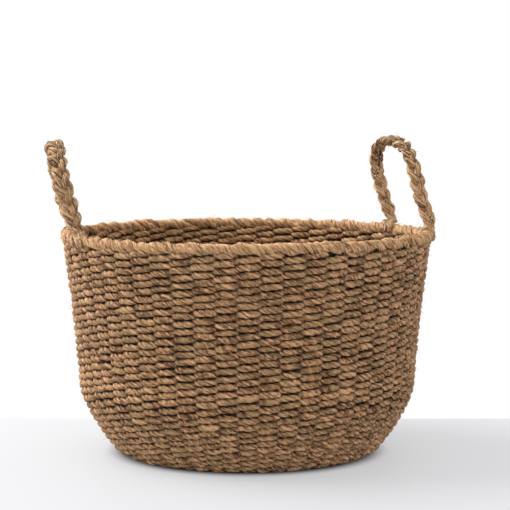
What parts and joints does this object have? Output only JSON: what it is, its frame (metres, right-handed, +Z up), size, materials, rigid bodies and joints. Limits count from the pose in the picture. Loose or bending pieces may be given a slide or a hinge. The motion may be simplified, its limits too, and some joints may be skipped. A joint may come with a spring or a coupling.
{
  "type": "woven storage basket",
  "caption": "Round open basket woven from twisted seagrass rope on upright stakes, flared above a rounded base, with a plaited rim border and plaited rope loop handles.",
  "frame": {"origin": "middle of the base's underside, on the surface that the basket stands on", "axes": "+Z up; the two handles stand at -X (left) and +X (right), the left one 6 and the right one 2 degrees toward the back; -Y is the front"},
  "size_m": [0.411, 0.3984, 0.3408],
  "materials": {
    "rope": "matt, dry fibrous twisted seagrass, tan to brown",
    "border": "matt, dry fibrous plaited seagrass, a little darker than the wall",
    "plait": "matt, dry fibrous plaited seagrass, paler than the wall",
    "stakes": "matt stiff dry stems"
  },
  "bodies": {
    "basket": {"base_centre": "rope", "base_course_01": "rope", "base_course_02": "rope", "base_course_03": "rope", "base_course_04": "rope", "base_course_05": "rope", "base_course_06": "rope", "base_course_07": "rope", "base_course_08": "rope", "base_course_09": "rope", "base_course_10": "rope", "base_course_11": "rope", "base_course_12": "rope", "wall_course_01": "rope", "wall_course_02": "rope", "wall_course_03": "rope", "wall_course_04": "rope", "wall_course_05": "rope", "wall_course_06": "rope", "wall_course_07": "rope", "wall_course_08": "rope", "wall_course_09": "rope", "wall_course_10": "rope", "wall_course_11": "rope", "wall_course_12": "rope", "wall_course_13": "rope", "wall_course_14": "rope", "wall_course_15": "rope", "wall_course_16": "rope", "wall_course_17": "rope", "wall_course_18": "rope", "wall_course_19": "rope", "wall_course_20": "rope", "wall_course_21": "rope", "wall_course_22": "rope", "wall_course_23": "rope", "wall_course_24": "rope", "wall_course_25": "rope", "wall_course_26": "rope", "wall_course_27": "rope", "wall_course_28": "rope", "wall_course_29": "rope", "wall_course_30": "rope", "wall_course_31": "rope", "main_stakes": "stakes", "added_stakes": "stakes", "rim_strand_outer": "border", "rim_strand_inner": "border", "rim_strand_top": "border", "handle_left_tails_front": "plait", "handle_left_tails_back": "plait", "handle_right_tails_front": "plait", "handle_right_tails_back": "plait"},
    "left_handle": {"handle_left_strand_1": "plait", "handle_left_strand_2": "plait", "handle_left_strand_3": "plait"},
    "right_handle": {"handle_right_strand_1": "plait", "handle_right_strand_2": "plait", "handle_right_strand_3": "plait"}
  },
  "joints": [
    {"name": "left_handle_flex", "type": "hinge", "parent": "basket", "child": "left_handle", "pos_m": [-0.18547, 0.01949, 0.25337], "axis": [-0.1045, -0.9945, 0], "range_deg": [-52, 28]},
    {"name": "right_handle_flex", "type": "hinge", "parent": "basket", "child": "right_handle", "pos_m": [0.18638, 0.00651, 0.25337], "axis": [-0.0349, 0.9994, 0], "range_deg": [-27, 53]}
  ]
}
